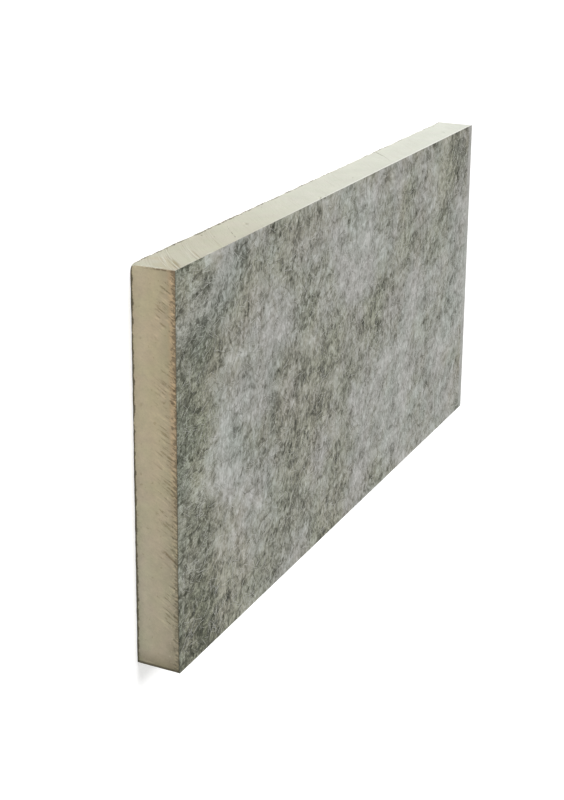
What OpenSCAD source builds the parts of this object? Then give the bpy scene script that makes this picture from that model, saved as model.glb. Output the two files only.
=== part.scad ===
// Polyiso insulation board: rigid polyisocyanurate foam that is foamed between
// two facers on a moving line, cured, and then sawn square on all four sides.
// It lies flat, with the white coated facer down and the grey fleece facer up.
// The origin is the centre of the underside. +X runs along the length, +Z up.

/* [Board] */
// Length of the board, along X
board_length = 1200; // [300:10:3000]
// Width of the board, along Y
board_width = 600; // [200:10:1500]
// Thickness of the board over both facers
board_thickness = 70; // [20:5:200]
// Radius to which handling blunts the four upright corners
corner_radius = 2; // [0.5:0.5:20]

/* [Facers] */
// Thickness of the grey glass fleece facer on the upper face
fleece_thickness = 0.8; // [0.2:0.1:3]
// Thickness of the white coated facer on the underside
coating_thickness = 0.5; // [0.2:0.1:3]

/* [Hidden] */

// The foam fills what the two facers leave of the board's thickness
core_thickness = board_thickness - fleece_thickness - coating_thickness;
core_bottom = coating_thickness;
core_top = core_bottom + core_thickness;

// Facets round a whole circle of the corner radius
corner_facets = 48;

// Plan outline: the saw cuts the foam and both facers through as one
module board_outline() {
    square([board_length - 2 * corner_radius, board_width], center = true);
    square([board_length, board_width - 2 * corner_radius], center = true);
    for (x_side = [-1, 1], y_side = [-1, 1])
        translate([
            x_side * (board_length / 2 - corner_radius),
            y_side * (board_width / 2 - corner_radius)
        ])
            circle(r = corner_radius, $fn = corner_facets);
}

// One layer of the board, from the height of its underside
module layer(bottom, thickness) {
    translate([0, 0, bottom])
        linear_extrude(height = thickness)
            board_outline();
}

// Closed-cell foam slab, with bare sawn foam on its four edges
module foam_core() {
    color("#dedac6")
        layer(core_bottom, core_thickness);
}

// Grey glass fleece, bonded to the top of the foam as it rises
module fleece_facer() {
    color("#959589")
        layer(core_top, fleece_thickness);
}

// White mineral-coated glass facer, bonded to the underside of the foam
module coated_facer() {
    color("#e1e0d5")
        layer(0, coating_thickness);
}

foam_core();
fleece_facer();
coated_facer();
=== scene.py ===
import math

import bpy
from mathutils import Matrix, Vector


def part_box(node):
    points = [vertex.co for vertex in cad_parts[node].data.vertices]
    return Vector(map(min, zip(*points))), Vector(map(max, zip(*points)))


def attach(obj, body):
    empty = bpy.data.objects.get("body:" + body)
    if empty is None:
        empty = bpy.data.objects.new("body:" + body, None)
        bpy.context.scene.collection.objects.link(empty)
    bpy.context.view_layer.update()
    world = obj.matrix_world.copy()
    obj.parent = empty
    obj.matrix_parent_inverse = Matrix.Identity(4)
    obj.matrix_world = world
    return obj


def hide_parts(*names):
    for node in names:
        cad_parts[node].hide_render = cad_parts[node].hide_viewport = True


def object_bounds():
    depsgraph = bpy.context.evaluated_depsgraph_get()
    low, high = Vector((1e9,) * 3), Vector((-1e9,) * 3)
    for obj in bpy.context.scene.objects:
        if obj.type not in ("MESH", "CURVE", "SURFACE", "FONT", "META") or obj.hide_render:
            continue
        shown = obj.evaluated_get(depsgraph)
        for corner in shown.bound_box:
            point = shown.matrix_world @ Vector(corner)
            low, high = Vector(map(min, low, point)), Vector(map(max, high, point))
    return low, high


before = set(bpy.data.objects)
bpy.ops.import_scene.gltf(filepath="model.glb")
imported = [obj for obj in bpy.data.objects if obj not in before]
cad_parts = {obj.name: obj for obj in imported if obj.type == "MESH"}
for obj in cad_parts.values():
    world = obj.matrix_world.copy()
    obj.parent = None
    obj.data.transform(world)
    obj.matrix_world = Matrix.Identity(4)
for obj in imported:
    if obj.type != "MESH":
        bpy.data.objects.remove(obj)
packed_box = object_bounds()


# ---------------------------------------------------------------- foam core
# A slab of rigid closed-cell foam. It rises between the two facers on the line,
# cures against them with a thin brown skin, and is sawn square on all four
# sides, so the bare edges show saw arcs, opened cells, a few voids and chips.

class Wire:
    """A node's output. Sums, products and comparisons of wires add Math nodes to their tree."""

    def __init__(self, tree, socket):
        self.tree = tree
        self.socket = socket

    def node(self, kind, settings=None, values=None, out=0):
        """Adds any node. Its settings are set first, then the values or links of its sockets."""
        node = self.tree.nodes.new(kind)
        for name, setting in (settings or {}).items():
            setattr(node, name, setting)
        for name, value in (values or {}).items():
            if isinstance(value, Wire):
                self.tree.links.new(value.socket, node.inputs[name])
            else:
                node.inputs[name].default_value = value
        return Wire(self.tree, node.outputs[out])

    def out(self, name):
        """Another output of the same node."""
        return Wire(self.tree, self.socket.node.outputs[name])

    def maths(self, operation, *operands):
        """A Math node, or a Vector Math node where a colour or a vector takes part."""
        whole = any(isinstance(o, tuple) or isinstance(o, Wire) and o.socket.type in ("VECTOR", "RGBA")
                    for o in operands)
        values = {}
        for number, operand in enumerate(operands):
            if whole and isinstance(operand, (int, float)):
                operand = (operand, operand, operand)
            values[number] = operand
        kind = "ShaderNodeVectorMath" if whole else "ShaderNodeMath"
        return self.node(kind, {"operation": operation}, values)

    def __add__(self, other):
        return self.maths("ADD", self, other)

    def __radd__(self, other):
        return self.maths("ADD", other, self)

    def __sub__(self, other):
        return self.maths("SUBTRACT", self, other)

    def __rsub__(self, other):
        return self.maths("SUBTRACT", other, self)

    def __mul__(self, other):
        return self.maths("MULTIPLY", self, other)

    def __rmul__(self, other):
        return self.maths("MULTIPLY", other, self)

    def __truediv__(self, other):
        return self.maths("DIVIDE", self, other)

    def __gt__(self, other):
        return self.maths("GREATER_THAN", self, other)

    def __pow__(self, other):
        return self.maths("POWER", self, other)

    def __abs__(self):
        return self.maths("ABSOLUTE", self)

    def smooth(self, low, high):
        """0 below low, 1 above high, and a soft step between them."""
        return self.node("ShaderNodeMapRange", {"interpolation_type": "SMOOTHSTEP"},
                         {"Value": self, "From Min": low, "From Max": high})

    def slope(self, low, high):
        """0 below low, 1 above high, and a straight climb between them."""
        return self.node("ShaderNodeMapRange", values={"Value": self, "From Min": low, "From Max": high})

    def mix(self, under, over):
        """Colour under where this mask is 0, and colour over where it is 1."""
        return self.node("ShaderNodeMix", {"data_type": "RGBA"},
                         {0: self, 6: rgba(under), 7: rgba(over)}, out=2)

    def parts(self):
        """The X, Y and Z of a vector."""
        split = self.node("ShaderNodeSeparateXYZ", values={0: self})
        return split, split.out("Y"), split.out("Z")

    def join(self, x, y, z):
        """A vector of three numbers or wires."""
        return self.node("ShaderNodeCombineXYZ", values={0: x, 1: y, 2: z})

    def noise(self, scale, detail=2.0, rough=0.5, warp=0.0):
        """Fractal noise at this position, about 0.5 on average."""
        return self.node("ShaderNodeTexNoise", values={
            "Vector": self, "Scale": scale, "Detail": detail, "Roughness": rough, "Distortion": warp})

    def chance(self, low, high, seed):
        """A number between low and high, drawn afresh for each point from a fixed seed."""
        return self.node("FunctionNodeRandomValue", {"data_type": "FLOAT"},
                         {2: low, 3: high, 8: seed}, out=1)

    def stored(self, name, kind):
        """What the piece stores at each vertex under this name."""
        return self.node("GeometryNodeInputNamedAttribute", {"data_type": kind}, {"Name": name})

    def from_line(self, other, start, end):
        """Distance of the point (self, other) from a straight line between two points."""
        run, rise = end[0] - start[0], end[1] - start[1]
        across, up = self - start[0], other - start[1]
        part = (across * run + up * rise) / (run * run + rise * rise)
        part = part.maths("MINIMUM", part.maths("MAXIMUM", part, 0.0), 1.0)
        across, up = across - part * run, up - part * rise
        return (across * across + up * up) ** 0.5

    def turned(self, angle, stretch):
        """This position turned about Z by an angle in degrees and then squeezed along X."""
        return self.node("ShaderNodeMapping", {"vector_type": "TEXTURE"}, {
            "Vector": self, "Rotation": (0, 0, math.radians(angle)), "Scale": (stretch, 1, 1)})


def rgba(colour):
    """A colour as a wire, or as the four numbers that a socket takes."""
    return colour if isinstance(colour, Wire) else (*colour, 1.0)


def new_tree(name, sizes):
    """A geometry tree with a mesh in, a mesh out and one named input for each size."""
    tree = bpy.data.node_groups.new(name, "GeometryNodeTree")
    tree.interface.new_socket("Mesh", in_out="INPUT", socket_type="NodeSocketGeometry")
    tree.interface.new_socket("Mesh", in_out="OUTPUT", socket_type="NodeSocketGeometry")
    for label, size in sizes.items():
        kind = "NodeSocketInt" if isinstance(size, int) else "NodeSocketFloat"
        tree.interface.new_socket(label, in_out="INPUT", socket_type=kind)
    inlet = tree.nodes.new("NodeGroupInput")
    return {label: Wire(tree, inlet.outputs[label]) for label in ("Mesh", *sizes)}


def finish_tree(mesh, material):
    """Ends a tree: its instances are made real and take their material."""
    real = mesh.node("GeometryNodeRealizeInstances", values={0: mesh})
    done = mesh.node("GeometryNodeSetMaterial", values={"Geometry": real, "Material": material})
    outlet = mesh.tree.nodes.new("NodeGroupOutput")
    mesh.tree.links.new(done.socket, outlet.inputs["Mesh"])
    return mesh.tree


def run_tree(piece, tree, sizes):
    """Runs a tree on a piece once and keeps what comes out as the piece's plain mesh."""
    modifier = piece.modifiers.new("tree", "NODES")
    modifier.node_group = tree
    for socket in tree.interface.items_tree:
        if socket.in_out == "INPUT" and socket.name in sizes:
            modifier[socket.identifier] = sizes[socket.name]
    depsgraph = bpy.context.evaluated_depsgraph_get()
    mesh = bpy.data.meshes.new_from_object(piece.evaluated_get(depsgraph), depsgraph=depsgraph)
    piece.modifiers.remove(modifier)
    material = mesh.materials[-1]
    mesh.materials.clear()
    mesh.materials.append(material)
    piece.data = mesh


def new_piece(name, vertices, faces):
    """An object with a mesh of these vertices and faces."""
    mesh = bpy.data.meshes.new(name)
    mesh.from_pydata(vertices, [], faces)
    mesh.validate()
    piece = bpy.data.objects.new(name, mesh)
    bpy.context.scene.collection.objects.link(piece)
    return piece


def mark(piece, name, kind, field, values):
    """Stores one value for each vertex of a piece, under a name that trees and materials read."""
    attribute = piece.data.attributes.new(name, kind, "POINT")
    attribute.data.foreach_set(field, values)


def new_material(name):
    """A material, its Principled shader and the position on the piece."""
    material = bpy.data.materials.new(name)
    material.use_nodes = True
    tree = material.node_tree
    shader = tree.nodes["Principled BSDF"]
    place = Wire(tree, tree.nodes.new("ShaderNodeTexCoord").outputs["Object"])
    return material, shader, place


def dress(shader, place, colour, rough, relief, distance):
    """Feeds a shader its colour, its roughness and a bump that is this deep in metres."""
    bump = place.node("ShaderNodeBump", values={"Height": relief, "Distance": distance, "Strength": 1.0})
    for name, value in (("Base Color", colour), ("Roughness", rough), ("Normal", bump)):
        if isinstance(value, Wire):
            place.tree.links.new(value.socket, shader.inputs[name])
        else:
            shader.inputs[name].default_value = value


core_low, core_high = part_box("foam_core")
half_length, half_width = core_high.x, core_high.y
corner_radius = 0.002
wall_cell = 0.002


def saw_outline(cell):
    """Points round the board's plan, anticlockwise, each with the way out and 1 on a sawn end."""
    corner_steps = 3
    outline = []
    for quarter, (sx, sy) in enumerate(((1, 1), (-1, 1), (-1, -1), (1, -1))):
        pivot = Vector((sx * (half_length - corner_radius), sy * (half_width - corner_radius)))
        for step in range(corner_steps + 1):
            angle = math.radians(90 * (quarter + step / corner_steps))
            out = Vector((math.cos(angle), math.sin(angle)))
            outline.append((pivot + corner_radius * out, out, abs(out.x)))
        # the straight run to the next corner: a long edge after the first and third corners
        along_length = quarter % 2 == 0
        run = 2 * ((half_length if along_length else half_width) - corner_radius)
        count = round(run / cell)
        way = Vector((-out.y, out.x))
        start = outline[-1][0]
        for step in range(1, count):
            outline.append((start + way * run * step / count, out, 0.0 if along_length else 1.0))
    return outline


def foam_block():
    """The foam as sawn, before its relief: walls of small quads, closed by two plain faces."""
    outline = saw_outline(wall_cell)
    columns = len(outline)
    rows = round((core_high.z - core_low.z) / wall_cell) + 1
    heights = [core_low.z + (core_high.z - core_low.z) * row / (rows - 1) for row in range(rows)]
    vertices = [(*point, height) for height in heights for point, _, _ in outline]
    faces = []
    for row in range(rows - 1):
        for column in range(columns):
            after = (column + 1) % columns
            low, high = row * columns, (row + 1) * columns
            faces.append((low + column, low + after, high + after, high + column))
    bottom_middle, top_middle = len(vertices), len(vertices) + 1
    vertices += [(0, 0, core_low.z), (0, 0, core_high.z)]
    top_row = (rows - 1) * columns
    for column in range(columns):
        after = (column + 1) % columns
        faces.append((after, column, bottom_middle))
        faces.append((top_row + column, top_row + after, top_middle))
    piece = new_piece("sawn_foam", vertices, faces)
    ways_out, ends = [], []
    for _ in range(rows):
        for _, out, end in outline:
            ways_out += [out.x, out.y, 0.0]
            ends.append(end)
    mark(piece, "outward", "FLOAT_VECTOR", "vector", ways_out + [0.0] * 6)
    mark(piece, "end_face", "FLOAT", "value", ends + [0.0, 0.0])
    return piece


# where the blade dwelt on the long edge: its place along it, reach and share of the depth
score_bands = (
    (-0.345, 0.024, 0.30),
    (-0.305, 0.019, 1.00),
    (-0.249, 0.016, 0.55),
    (-0.176, 0.010, 0.40),
)


def saw_scores(position, x, z):
    """Scores of a round blade on the long edges: 1 on a raised line, -1 in a groove."""
    blade_radius, blade_height = 0.380, 0.317
    above = z - blade_height
    blade_place = x + (blade_radius ** 2 - above * above) ** 0.5
    lines = position.join(235 * blade_place, 14 * z, 0.0).noise(1.0, detail=2.0, rough=0.6)
    lines = lines.slope(0.54, 0.68) - lines.slope(0.46, 0.34)
    depth = 0.10
    for middle, reach, share in score_bands:
        band = share * abs(blade_place - middle).smooth(reach, 0.55 * reach)
        depth = band.maths("MAXIMUM", depth, band)
    return lines * depth


def knocked_corner(x, y, z, size):
    """The way that points of one lower corner move in, where a knock rounded it off."""
    reach = size * z.smooth(0.014, 0.0)
    short_x = reach - (x + half_length)
    short_y = reach - (half_width - y)
    short_x = short_x.maths("MAXIMUM", short_x, 0.0)
    short_y = short_y.maths("MAXIMUM", short_y, 0.0)
    away = (short_x * short_x + short_y * short_y) ** 0.5
    inward = (away - reach) / away
    inward = inward.maths("MAXIMUM", inward, 0.0)
    return x.join(short_x * inward, 0 - short_y * inward, 0.0)


foam_sizes = {
    "Score Depth": 0.0007,
    "Wander Depth": 0.0008,
    "Chip Depth": 0.0012,
    "Void Depth": 0.0035,
    "Knocked Corner": 0.010,
}
# blown voids on the long edge: place along it, height above the floor and radius
voids = ((-0.329, 0.035, 0.0052),)
# past this place across the board lies the long edge that has the voids and cracks
marked_edge_from = 0.2


def foam_relief(material):
    """The tree that presses saw ridges, voids, chips and a slight wander into the sawn edges."""
    inlet = new_tree("sawn relief", foam_sizes)
    mesh = inlet["Mesh"]
    position = mesh.node("GeometryNodeInputPosition")
    x, y, z = position.parts()
    outward = mesh.stored("outward", "FLOAT_VECTOR")
    end = mesh.stored("end_face", "FLOAT")
    depth = inlet["Score Depth"] * (0.5 - 0.5 * saw_scores(position, x, z)) * (1 - end)
    depth = depth + inlet["Wander Depth"] * position.noise(14.0, detail=3.0)
    from_middle = abs(z - (core_low.z + core_high.z) / 2)
    near_facer = from_middle.smooth(0.0300, 0.0346)
    chips = position.noise(130.0, detail=3.0, rough=0.65).smooth(0.50, 0.72)
    depth = depth + inlet["Chip Depth"] * chips * near_facer
    pits = position.noise(75.0, detail=1.0).smooth(0.765, 0.81) * (1 - end)
    for void_x, void_z, void_size in voids:
        from_x, from_z = x - void_x, z - void_z
        away = (from_x * from_x + from_z * from_z) ** 0.5
        void = away.smooth(void_size, 0.4 * void_size) * (y > marked_edge_from)
        pits = pits.maths("MAXIMUM", pits, void)
    depth = depth + inlet["Void Depth"] * pits
    offset = knocked_corner(x, y, z, inlet["Knocked Corner"]) - outward * depth
    moved = mesh.node("GeometryNodeSetPosition", values={"Geometry": mesh, "Offset": offset})
    return finish_tree(moved, material)


# cracks on the long edge: both ends, as place along it and height above the floor, and width
cracks = (
    ((-0.357, 0.020), (-0.376, 0.034), 0.0010),
    ((-0.380, 0.037), (-0.406, 0.059), 0.0012),
    ((0.257, 0.002), (0.231, 0.028), 0.0014),
    ((0.231, 0.028), (0.198, 0.055), 0.0005),
)


def foam_material():
    """Cream foam, tan on its sawn ends, with a brown skin line along both facers."""
    cream, aged_and_dim, tan = (0.808, 0.826, 0.742), (0.632, 0.618, 0.505), (0.578, 0.500, 0.340)
    rust, dark_brown, olive_black = (0.585, 0.430, 0.265), (0.235, 0.180, 0.115), (0.105, 0.094, 0.060)
    material, shader, place = new_material("sawn_foam")
    x, y, z = place.parts()
    end = place.node("ShaderNodeAttribute", {"attribute_name": "end_face"}, out="Fac")
    edge = 1 - end
    to_fleece, to_coating, to_arris = core_high.z - z, z - core_low.z, half_width - abs(y)
    blotch = place.noise(26.0, detail=3.0, rough=0.6)
    cells = place.noise(330.0, detail=4.0, rough=0.75)
    ragged = place.noise(130.0, detail=4.0, rough=0.75)
    wavy = place.noise(24.0, detail=2.0)
    lower_half = y.smooth(0.12, -0.20)

    # tears run aslant across the sawn end, and crowd into short ticks under the fleece
    along, across = 0.86 * z - 0.51 * y, 0.51 * z + 0.86 * y
    tears = place.join(7 * x, 60 * along, 310 * across).noise(1.0, detail=3.0, rough=0.6)
    long_tears = place.join(9 * x, 38 * along, 330 * across).noise(1.0, detail=2.0)
    ticks = place.join(5 * x, 110 * along, 300 * across).noise(1.0, detail=2.0, rough=0.6)
    scores = saw_scores(place, x, z) * edge

    # colour of the open foam: the long edges whiten away from the aged end at -X, partly by real ageing
    # and partly by a painted light falloff that darkens them at -X and brightens them towards +X; the
    # ends are palest near the coated side and darken towards the fleece
    fresh_and_lit = 0.62 * x.smooth(-0.47, -0.05) + 0.38 * x.slope(-0.05, 0.55)
    stain = x.from_line(z, (-0.590, 0.052), (-0.560, 0.018)).smooth(0.020, 0.006)
    long_face = (0.42 * stain * wavy.smooth(0.30, 0.50)).mix(fresh_and_lit.mix(aged_and_dim, cream), tan)
    palest = z.smooth(0.036, 0.012) * (0.045, 0.065, 0.100)
    body = end.mix(long_face, tan * (1 + palest - 0.15 * z.slope(0.040, 0.058)))
    # painted shade: over their lower half the sawn ends are made darker and greyer
    body = (lower_half * end).mix(body, body * (0.90, 0.935, 1.0))
    low_strip = to_coating.smooth(0.014, 0.003) * lower_half * end
    body = (0.7 * low_strip).mix(body, body * (0.88, 0.92, 0.91))
    # the corner that the board is stood on has picked up dirt
    soil = (y + 0.010 * (wavy - 0.5)).slope(-0.2725, -0.2920) * end
    smudge = y.from_line(z, (-0.264, 0.058), (-0.258, 0.054)).smooth(0.011, 0.003) * end
    body = (soil + 0.55 * smudge * wavy).mix(body, body * (0.68, 0.675, 0.62))
    flecks = place.noise(95.0, detail=2.0)
    shade = 0.815 + 0.16 * blotch + (0.14 + 0.16 * end) * cells + 0.12 * tears * end
    speckle = 0.22 * (flecks - 0.5) + 0.10 * (blotch - 0.5)
    # its last term is a painted shade that deepens towards the long edge at -Y on the sawn ends
    shade = shade + end * (speckle - 0.03 - 0.11 * y.smooth(-0.18, -0.31))
    body = body * shade
    warm = place.noise(34.0, detail=1.0).slope(0.35, 0.65)
    tinted = warm.mix(body * (0.98, 1.0, 0.96), body * (1.015, 0.985, 1.0))
    body = (0.55 - 0.35 * fresh_and_lit * edge + 0.45 * end).mix(body, tinted)

    # the blade leaves grooves and raised lines on the long edges: the grooves are painted brown, partly
    # the foam's own tone and partly painted shade, and the raised lines carry a painted highlight
    body = scores.slope(0.0, -0.8).mix(body, body * (0.71, 0.65, 0.54))
    body = (0.65 * scores.slope(0.1, 0.9)).mix(body, (0.82, 0.82, 0.74))
    dots = place.noise(125.0, detail=1.0).smooth(0.69, 0.76) * end
    body = (0.55 * dots).mix(body, body * (0.74, 0.70, 0.62))

    # rust band and ticks where the foam cured against the fleece
    band = (to_fleece + 0.010 * (ragged - 0.5)).smooth(0.0145, 0.0060)
    cured = lower_half.mix(rust, (0.36, 0.33, 0.22))
    body = (band * end * (0.70 - 0.35 * lower_half)).mix(body, cured)
    tick_reach = to_fleece.smooth(0.0130, 0.0010)
    dark_ticks = (ticks + 0.20 * tick_reach).smooth(0.62, 0.74) * to_fleece.smooth(0.017, 0.007)
    soot = lower_half.mix(dark_brown, olive_black)
    body = (dark_ticks * (0.04 + end * (0.76 - 0.36 * lower_half))).mix(body, soot)
    bright_ticks = ticks.smooth(0.46, 0.36) * to_fleece.smooth(0.013, 0.008) * end
    body = (0.7 * bright_ticks).mix(body, body * (1.24, 1.20, 1.16))

    # long torn cells in loose crowds, each with a pale lip beside it
    crowd = place.noise(19.0, detail=1.0).smooth(0.46, 0.60)
    midst = 0.8 * y.smooth(0.19, 0.14) * y.smooth(-0.13, -0.07)
    crowd = crowd.maths("MAXIMUM", crowd, midst) * to_fleece.smooth(0.048, 0.014) * end
    dashes = ragged.smooth(0.38, 0.54)
    torn = long_tears.smooth(0.56, 0.66) * crowd * dashes
    lips = long_tears.smooth(0.44, 0.35) * crowd * (0.4 + 0.6 * dashes)
    body = (torn * 0.85).mix(body, body * (0.60, 0.55, 0.46))
    body = (lips * 0.75).mix(body, body * (1.27, 1.26, 1.25))
    chips = place.noise(230.0, detail=1.0).smooth(0.62, 0.70) * to_fleece.smooth(0.024, 0.008)
    body = (0.7 * chips * lower_half * end).mix(body, body * (1.40, 1.42, 1.45))

    # dark lines along the facers and the arrises of the sawn ends
    fleece_line = (to_fleece + 0.0014 * ragged).smooth(0.0026, 0.0012)
    body = (fleece_line * (0.04 + 0.60 * end)).mix(body, soot)
    knots = place.noise(62.0, detail=2.0)
    coat_reach = to_coating + 0.0050 * (ragged - 0.5) + 0.0080 * (knots - 0.5) - 0.0010 * lower_half
    coat_line = coat_reach.smooth(0.0030, 0.0012)
    broken = ragged.smooth(0.44, 0.54) * x.smooth(0.10, -0.30)
    body = (coat_line * (0.80 * broken + end * (0.85 - 0.80 * broken))).mix(body, olive_black)
    upper = y > marked_edge_from
    upper_arris = (to_arris + 0.0030 * ragged).smooth(0.0060, 0.0036) * upper
    upper_arris = upper_arris * (0.30 + 0.70 * ragged.smooth(0.42, 0.50))
    body = (upper_arris * end * z.smooth(0.006, 0.046) * 0.95).mix(body, soot)
    flakes = place.noise(190.0, detail=1.0).smooth(0.52, 0.62) * x.smooth(-0.588, -0.597)
    body = (0.35 * flakes * edge).mix(body, (0.86, 0.85, 0.76))
    lower_arris = (to_arris + 0.0016 * ragged).smooth(0.0070, 0.0048) * (1 - upper)
    glint = (to_arris + 0.0016 * ragged).smooth(0.0100, 0.0080) * z.smooth(0.036, 0.022) * (1 - upper)
    body = (0.6 * glint * end).mix(body, body * (1.26, 1.28, 1.30))
    body = (lower_arris * end * 0.85).mix(body, olive_black)

    # a painted highlight runs along the long edges just under the fleece, where their arris catches the
    # light, strongest towards +X, and two cracks cross the marked one
    arris_highlight = (to_fleece + 0.0030 * ragged).smooth(0.0068, 0.0042) * edge
    highlight_strength = fresh_and_lit.maths("MAXIMUM", fresh_and_lit, 0.30 * knots.smooth(0.50, 0.62))
    body = (0.78 * highlight_strength * arris_highlight).mix(body, (0.93, 0.94, 0.88))
    cracked, lifted = 0.0, 0.0
    for start, stop, width in cracks:
        near = x.from_line(z, start, stop) + 2.4 * width * (cells - 0.42)
        cracked = near.maths("MAXIMUM", cracked, near.smooth(width, 0.3 * width))
        lifted = near.maths("MAXIMUM", lifted, near.smooth(2.6 * width, 1.6 * width))
    lifted = (lifted - cracked) * edge * upper
    body = (0.5 * lifted * broken).mix(body, body * (1.12, 1.12, 1.14))
    gaping = 0.30 + 0.30 * wavy + 0.45 * z.smooth(0.034, 0.012)
    gaping = gaping * x.smooth(-0.1, 0.1) + 0.80 * broken * ragged.smooth(0.46, 0.56)
    cracked = cracked * gaping * edge * upper
    body = cracked.mix(body, (0.30, 0.27, 0.20))

    relief = 1.6 * cells + 1.2 * scores + (1.6 * tears - 1.6 * torn - 1.2 * dark_ticks) * end
    dress(shader, place, body, 0.93, relief - 2.0 * cracked, 0.0004)
    shader.inputs["Specular IOR Level"].default_value = 0.25
    return material


sawn_foam = foam_block()
run_tree(sawn_foam, foam_relief(foam_material()), foam_sizes)
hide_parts("foam_core")
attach(sawn_foam, "root")


# ------------------------------------------------------------- fleece facer
# A mat of glass fibre in grey bitumen, about 0.8 mm thick. It is unrolled onto
# the rising foam and bonds to it, so it lies flat but for a slight quilting,
# with the mat's cloudy patches, laid fibres and cut, frayed borders.

fleece_low, fleece_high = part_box("fleece_facer")


def cut_border(x, y, jitter):
    """How far the points within 1.5 mm of the cut move in, along X and along Y."""
    at_end = (half_length - abs(x)).smooth(0.0015, 0.0)
    at_side = (half_width - abs(y)).smooth(0.0015, 0.0)
    return 0 - x.maths("SIGN", x) * at_end * jitter, 0 - y.maths("SIGN", y) * at_side * jitter


def facer_sheet(name, low, high, cell, face_up):
    """A thin closed sheet. The face that shows is a grid, and the bonded one is plain."""
    across = round(2 * half_length / cell)
    up = round(2 * half_width / cell)
    shown, hidden = (high, low) if face_up else (low, high)
    blunt = corner_radius * (1 - math.sqrt(0.5))
    vertices = []
    for row in range(up + 1):
        for column in range(across + 1):
            at_x = half_length * (2 * column / across - 1)
            at_y = half_width * (2 * row / up - 1)
            if column in (0, across) and row in (0, up):
                at_x -= math.copysign(blunt, at_x)
                at_y -= math.copysign(blunt, at_y)
            vertices.append((at_x, at_y, shown))
    faces = []
    stride = across + 1
    for row in range(up):
        for column in range(across):
            first = row * stride + column
            faces.append((first, first + 1, first + stride + 1, first + stride))
    ring = list(range(across))
    ring += [across + row * stride for row in range(up)]
    ring += [up * stride + column for column in range(across, 0, -1)]
    ring += [row * stride for row in range(up, 0, -1)]
    below = len(vertices)
    for vertex in ring:
        vertices.append((*vertices[vertex][:2], hidden))
    middle = len(vertices)
    vertices.append((0, 0, hidden))
    for step, vertex in enumerate(ring):
        after = (step + 1) % len(ring)
        faces.append((vertex, below + step, below + after, ring[after]))
        faces.append((below + step, middle, below + after))
    if not face_up:
        faces = [tuple(reversed(face)) for face in faces]
    return new_piece(name, vertices, faces)


fleece_sizes = {"Quilting": 0.00030, "Ragged Border": 0.0012}


def fleece_relief(material):
    """The tree that quilts the shown face and wanders the cut border."""
    inlet = new_tree("laid fleece", fleece_sizes)
    mesh = inlet["Mesh"]
    position = mesh.node("GeometryNodeInputPosition")
    x, y, z = position.parts()
    upper = z.smooth(fleece_low.z, fleece_high.z)
    quilt = position.noise(26.0, detail=3.0, rough=0.6) - 0.55
    jitter = position.noise(90.0, detail=3.0, rough=0.7) * inlet["Ragged Border"]
    inward_x, inward_y = cut_border(x, y, jitter)
    offset = position.join(inward_x, inward_y, upper * quilt * inlet["Quilting"])
    moved = mesh.node("GeometryNodeSetPosition", values={"Geometry": mesh, "Offset": offset})
    return finish_tree(moved, material)


# the ways that the mat's strands lie: angle in degrees, strands across a metre and stretch along
strand_ways = ((12, 105.0, 2.4), (58, 121.0, 3.8), (92, 110.0, 4.6), (132, 126.0, 3.4))


def fleece_material():
    """Grey bitumen with cloudy patches, mottled where the fibres lie thick or thin."""
    dark, grey, pale = (0.010, 0.012, 0.006), (0.264, 0.264, 0.234), (0.50, 0.50, 0.465)
    material, shader, place = new_material("grey_fleece")
    x, y, z = place.parts()
    clouds = place.noise(5.5, detail=1.0)
    patches = place.turned(4, 1.7).noise(40.0, detail=3.0, rough=0.62, warp=0.6)
    drifts = place.turned(3, 2.3).noise(24.0, detail=1.0)
    mottle = place.turned(70, 1.3).noise(85.0, detail=3.0, rough=0.75, warp=1.5)
    strands, gaps = None, None
    for angle, across, length in strand_ways:
        streak = place.turned(angle, length).noise(across, detail=2.0, rough=0.6, warp=0.8)
        strands = streak if strands is None else strands.maths("MAXIMUM", strands, streak)
        gaps = streak if gaps is None else gaps.maths("MINIMUM", gaps, streak)
    thick = 1.65 * (clouds - 0.5) + 1.9 * (patches - 0.5) + 0.6 * (drifts - 0.5)
    fine = 2.0 * (mottle - 0.5) + 2.1 * (strands - 0.62) + 2.8 * (gaps - 0.38)
    # where the mat lies thin the bitumen shows through it in dark specks
    thin = thick.slope(0.10, -0.45)
    specks = place.turned(66, 1.8).noise(135.0, detail=2.0, rough=0.6).slope(0.57, 0.66)
    # hands and stacking have soiled and roughened the mat beside the sawn end at -X
    handled = (x + 0.07 * (patches - 0.5)).slope(-0.465, -0.520)
    fine = fine * (0.90 + 0.55 * thin - 0.40 * handled)
    tone = thick + fine - (0.20 + 1.1 * thin) * specks + 0.07
    curls = place.turned(8, 1.8).noise(175.0, detail=2.5, rough=0.7, warp=1.5) - 0.5
    spots = place.turned(15, 1.6).noise(90.0, detail=1.0).slope(0.60, 0.68)
    tone = tone + handled * (3.2 * curls - 0.8 * spots - 0.35)
    # a narrow strip along the other end has stayed even and pale
    calm = (x + 0.012 * (mottle - 0.5)).smooth(0.578, 0.588)
    tone = tone * (1 - 0.60 * calm) + 0.38 * calm
    # thin mat fades towards the dark bitumen, and thick mat towards the pale fibre
    low = tone.maths("MINIMUM", tone, 0.0)
    colour = low.maths("EXPONENT", 1.2 * low).mix(dark, grey)
    colour = tone.slope(0.0, 1.0).mix(colour, pale)
    tint = (place.noise(6.0, detail=4.0, rough=0.6) + 0.10 * tone + 0.30 * calm).smooth(0.33, 0.67)
    colour = tint.mix(colour * (1.02, 0.995, 0.90), colour * (0.985, 1.0, 1.03))
    colour = handled.mix(colour, colour * (0.995, 1.015, 0.96))
    blush = place.noise(11.0, detail=3.0, rough=0.6).slope(0.35, 0.65)
    colour = blush.mix(colour * (0.97, 1.01, 0.98), colour * (1.02, 0.99, 0.99))
    relief = strands + gaps + 1.5 * mottle
    dress(shader, place, colour, 0.88, relief, 0.0006)
    shader.inputs["Specular IOR Level"].default_value = 0.3
    return material


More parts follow.
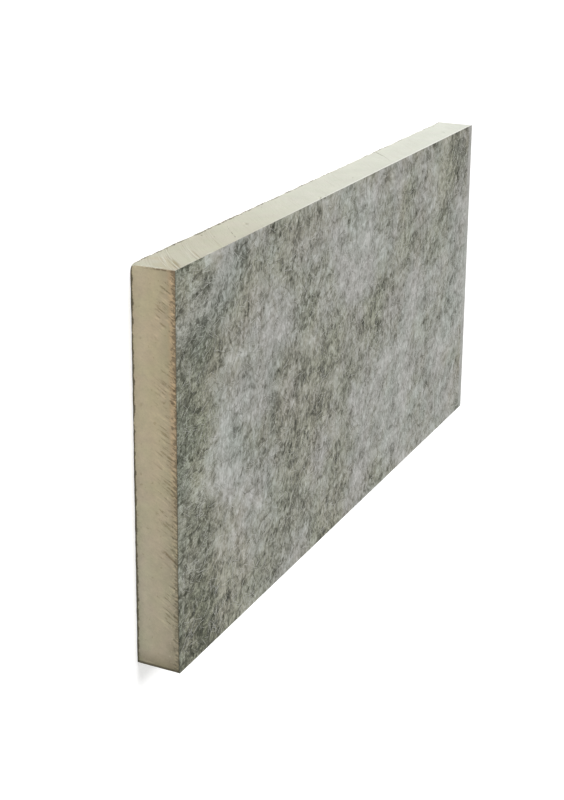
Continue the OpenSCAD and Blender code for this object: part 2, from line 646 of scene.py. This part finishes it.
fleece = facer_sheet("grey_fleece", fleece_low.z, fleece_high.z, 0.004, True)
run_tree(fleece, fleece_relief(fleece_material()), fleece_sizes)
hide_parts("fleece_facer")
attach(fleece, "root")

fibre_sizes = {
    "Fibres per m2": 12500.0,
    "Fibre Length": 0.020,
    "Fibre Radius": 0.00022,
    "Wiggle": 0.007,
    "Quilting": fleece_sizes["Quilting"],
    "Seed": 11,
}


def one_fibre(mesh, length, radius, bends):
    """A short three-sided strand along X, closed at both ends."""
    half = 0.5 * length
    ends = [mesh.join(way * half, 0, 0) for way in (-1, 1)]
    line = mesh.node("GeometryNodeCurvePrimitiveLine", values={"Start": ends[0], "End": ends[1]})
    bent = mesh.node("GeometryNodeResampleCurve", values={"Curve": line, "Count": bends + 1})
    ring = mesh.node("GeometryNodeCurvePrimitiveCircle", values={"Resolution": 3, "Radius": radius})
    return mesh.node("GeometryNodeCurveToMesh", values={
        "Curve": bent, "Profile Curve": ring, "Fill Caps": True})


def toned(mesh, seed):
    """Gives each strand a tone of its own, which the fibre material reads."""
    return mesh.node("GeometryNodeStoreNamedAttribute", {"data_type": "FLOAT", "domain": "INSTANCE"}, {
        "Geometry": mesh, "Name": "fibre_tone", "Value": mesh.chance(0.0, 1.0, seed)})


def fibre_scatter(material):
    """The tree that lays strands at random over a patch and follows the fleece's quilting."""
    inlet = new_tree("laid fibres", fibre_sizes)
    mesh, seed = inlet["Mesh"], inlet["Seed"]
    points = mesh.node("GeometryNodeDistributePointsOnFaces", values={
        "Mesh": mesh, "Density": inlet["Fibres per m2"], "Seed": seed})
    strand = one_fibre(mesh, inlet["Fibre Length"], inlet["Fibre Radius"], 3)
    way = mesh.join(0, 0, mesh.chance(0.0, 2 * math.pi, seed))
    size = mesh.join(mesh.chance(0.5, 1.2, seed + 1), mesh.chance(0.6, 1.4, seed + 2), 1.0)
    laid = mesh.node("GeometryNodeInstanceOnPoints", values={
        "Points": points, "Instance": strand, "Rotation": way, "Scale": size})
    real = mesh.node("GeometryNodeRealizeInstances", values={0: toned(laid, seed + 3)})
    position = mesh.node("GeometryNodeInputPosition")
    bend = (position.noise(45.0).out("Color") - 0.5) * inlet["Wiggle"]
    bend_x, bend_y, _ = bend.parts()
    quilt = (position.noise(26.0, detail=3.0, rough=0.6) - 0.55) * inlet["Quilting"]
    moved = mesh.node("GeometryNodeSetPosition", values={
        "Geometry": real, "Offset": mesh.join(bend_x, bend_y, quilt)})
    return finish_tree(moved, material)


fray_sizes = {"Fray Length": 0.0040, "Fray Radius": 0.00016, "Seed": 23}


def fray_scatter(material):
    """The tree that sets short strands along the cut border, each pointing outwards at a slant."""
    inlet = new_tree("frayed border", fray_sizes)
    mesh, seed = inlet["Mesh"], inlet["Seed"]
    out_x, out_y, _ = mesh.stored("outward", "FLOAT_VECTOR").parts()
    turn = out_y.maths("ARCTAN2", out_y, out_x) + mesh.chance(-1.1, 1.1, seed)
    way = mesh.join(0, mesh.chance(-0.15, 0.30, seed + 1), turn)
    size = mesh.join(mesh.chance(0.3, 1.0, seed + 2), 1.0, 1.0)
    strand = one_fibre(mesh, inlet["Fray Length"], inlet["Fray Radius"], 2)
    laid = mesh.node("GeometryNodeInstanceOnPoints", values={
        "Points": mesh, "Instance": strand, "Rotation": way, "Scale": size})
    return finish_tree(toned(laid, seed + 3), material)


def fibre_material():
    """Glass strands in bitumen: some bare and pale, some soaked and dark."""
    material, shader, place = new_material("glass_fibres")
    tone = place.node("ShaderNodeAttribute", {"attribute_name": "fibre_tone"}, out="Fac")
    colour = tone.slope(0.10, 0.75).mix((0.13, 0.13, 0.11), (0.58, 0.58, 0.54))
    along = place.noise(300.0, detail=2.0)
    dress(shader, place, colour * (0.80 + 0.40 * along), 0.80, along, 0.0001)
    return material


glass_fibres = fibre_material()
patch_inset = 0.010
fibre_z = fleece_high.z + 0.00004
patch = [(sx * (half_length - patch_inset), sy * (half_width - patch_inset), fibre_z)
         for sx, sy in ((-1, -1), (1, -1), (1, 1), (-1, 1))]
laid_fibres = new_piece("laid_fibres", patch, [(0, 1, 2, 3)])
run_tree(laid_fibres, fibre_scatter(glass_fibres), fibre_sizes)

fray_spacing, fray_inset = 0.0035, 0.0012
fray_z = fleece_high.z - 0.0003
border = saw_outline(fray_spacing)
fray_roots = [(*(point - fray_inset * out), fray_z) for point, out, _ in border]
frayed_border = new_piece("frayed_border", fray_roots, [])
mark(frayed_border, "outward", "FLOAT_VECTOR", "vector",
     [number for _, out, _ in border for number in (out.x, out.y, 0.0)])
run_tree(frayed_border, fray_scatter(glass_fibres), fray_sizes)

for fibres in (laid_fibres, frayed_border):
    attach(fibres, "root")


# ------------------------------------------------------------- coated facer
# Glass tissue under a white mineral coat, about 0.5 mm thick. It faces the
# underside, smooth and matt, with a plain printed pattern in red.

coating_low, coating_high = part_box("coated_facer")
coating_sizes = {"Ragged Border": 0.0016, "Knocked Corner": foam_sizes["Knocked Corner"]}


def coating_relief(material):
    """The tree that wanders the cut border of the coated facer."""
    inlet = new_tree("cut coating", coating_sizes)
    mesh = inlet["Mesh"]
    position = mesh.node("GeometryNodeInputPosition")
    x, y, z = position.parts()
    jitter = position.noise(42.0, detail=4.0, rough=0.7).smooth(0.35, 0.70) * inlet["Ragged Border"]
    inward_x, inward_y = cut_border(x, y, jitter)
    offset = position.join(inward_x, inward_y, 0) + knocked_corner(x, y, z, inlet["Knocked Corner"])
    moved = mesh.node("GeometryNodeSetPosition", values={"Geometry": mesh, "Offset": offset})
    return finish_tree(moved, material)


def coating_material():
    """Warm white coat with rows of plain red lozenges."""
    white, red, cut_brown = (0.76, 0.755, 0.68), (0.50, 0.022, 0.012), (0.12, 0.10, 0.07)
    material, shader, place = new_material("white_coating")
    clouds = place.noise(9.0, detail=3.0)
    tissue = place.noise(420.0, detail=3.0)
    x, y, z = place.parts()
    row_gap, motif_gap = 0.20, 0.30
    half_long, half_tall = 0.075, 0.030
    row = (y / row_gap).maths("FLOOR", y / row_gap)
    slid = x / motif_gap + 0.5 * row
    from_x = abs(slid.maths("FRACT", slid) - 0.5) * motif_gap
    from_y = abs((y / row_gap).maths("FRACT", y / row_gap) - 0.5) * row_gap
    lozenge = (from_x / half_long + from_y / half_tall).smooth(1.02, 0.98)
    shown = z.smooth(coating_low.z + 0.00010, coating_low.z + 0.00003)
    colour = (lozenge * shown).mix(white, red) * (0.95 + 0.10 * clouds)
    on_end = abs(x).smooth(half_length - 0.004, half_length - 0.002)
    soaked = place.noise(90.0, detail=3.0, rough=0.7).smooth(0.42, 0.58)
    cut = soaked.maths("MAXIMUM", soaked, on_end).mix((0.50, 0.48, 0.40), cut_brown)
    colour = shown.mix(cut, colour)
    dress(shader, place, colour, 0.62, tissue, 0.0001)
    return material


coating = facer_sheet("white_coating", coating_low.z, coating_high.z, 0.005, False)
run_tree(coating, coating_relief(coating_material()), coating_sizes)
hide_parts("coated_facer")
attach(coating, "root")


# ------------------------------------------------- camera, lamps and floor
# A pale studio floor, one large soft lamp high on the side of the marked
# long edge, and an even pale surround. The camera looks down along the board
# and is rolled, so that this long edge is uppermost in its view.

aim = Vector((-0.2745, 0.2406, packed_box[1].z))
azimuth, elevation, roll = math.radians(-107.0), math.radians(24.7), math.radians(97.8)
distance = 2.33
back = Vector((
    math.sin(azimuth) * math.cos(elevation),
    -math.cos(azimuth) * math.cos(elevation),
    math.sin(elevation),
))
camera_data = bpy.data.cameras.new("camera")
camera_data.sensor_width = 36.0
camera_data.lens = 69.0
camera_data.shift_y = -0.18
camera = bpy.data.objects.new("camera", camera_data)
level = (-back).to_track_quat("-Z", "Y").to_matrix()
camera.matrix_world = Matrix.Translation(aim + distance * back) @ (
    level @ Matrix.Rotation(roll, 3, "Z")).to_4x4()
bpy.context.scene.collection.objects.link(camera)
bpy.context.scene.camera = camera


def add_lamp(name, kind, way_in, strength, softness):
    """A soft sun or lamp whose light comes from a direction."""
    data = bpy.data.lights.new(name, kind)
    data.energy = strength
    data.angle = math.radians(softness)
    lamp = bpy.data.objects.new(name, data)
    lamp.rotation_euler = Vector(way_in).to_track_quat("Z", "Y").to_euler()
    bpy.context.scene.collection.objects.link(lamp)


add_lamp("key_lamp", "SUN", (0.03, 0.50, 0.78), 1.877, 25)

world = bpy.data.worlds.new("surround")
world.use_nodes = True
bpy.context.scene.world = world
sky = Wire(world.node_tree, None)
path = sky.node("ShaderNodeLightPath")
seen = path.maths("MAXIMUM", path, path.out("Is Glossy Ray"))
even = sky.node("ShaderNodeBackground", values={"Color": (1, 1, 1, 1), "Strength": 0.5})
white = sky.node("ShaderNodeBackground", values={"Color": (1, 1, 1, 1), "Strength": 1.0})
both = sky.node("ShaderNodeMixShader", values={0: seen, 1: even, 2: white})
world.node_tree.links.new(both.socket, world.node_tree.nodes["World Output"].inputs["Surface"])

floor_reach = 30.0
floor_corners = [(sx * floor_reach, sy * floor_reach, 0)
                 for sx, sy in ((-1, -1), (1, -1), (1, 1), (-1, 1))]
floor = new_piece("floor", floor_corners, [(0, 1, 2, 3)])
floor_material, floor_shader, floor_place = new_material("pale_floor")
floor_shader.inputs["Base Color"].default_value = (0.80, 0.80, 0.80, 1)
floor_shader.inputs["Roughness"].default_value = 1.0
floor_path = floor_place.node("ShaderNodeLightPath")
lift = floor_place.node("ShaderNodeEmission", values={"Color": (1, 1, 1, 1), "Strength": 0.40})
lit = Wire(floor_material.node_tree, floor_shader.outputs[0])
lifted = floor_place.node("ShaderNodeAddShader", values={0: lit, 1: lift})
floor_look = floor_place.node("ShaderNodeMixShader", values={0: floor_path, 1: lit, 2: lifted})
floor_material.node_tree.links.new(
    floor_look.socket, floor_material.node_tree.nodes["Material Output"].inputs["Surface"])
floor.data.materials.append(floor_material)

bpy.context.scene.view_settings.view_transform = "Standard"
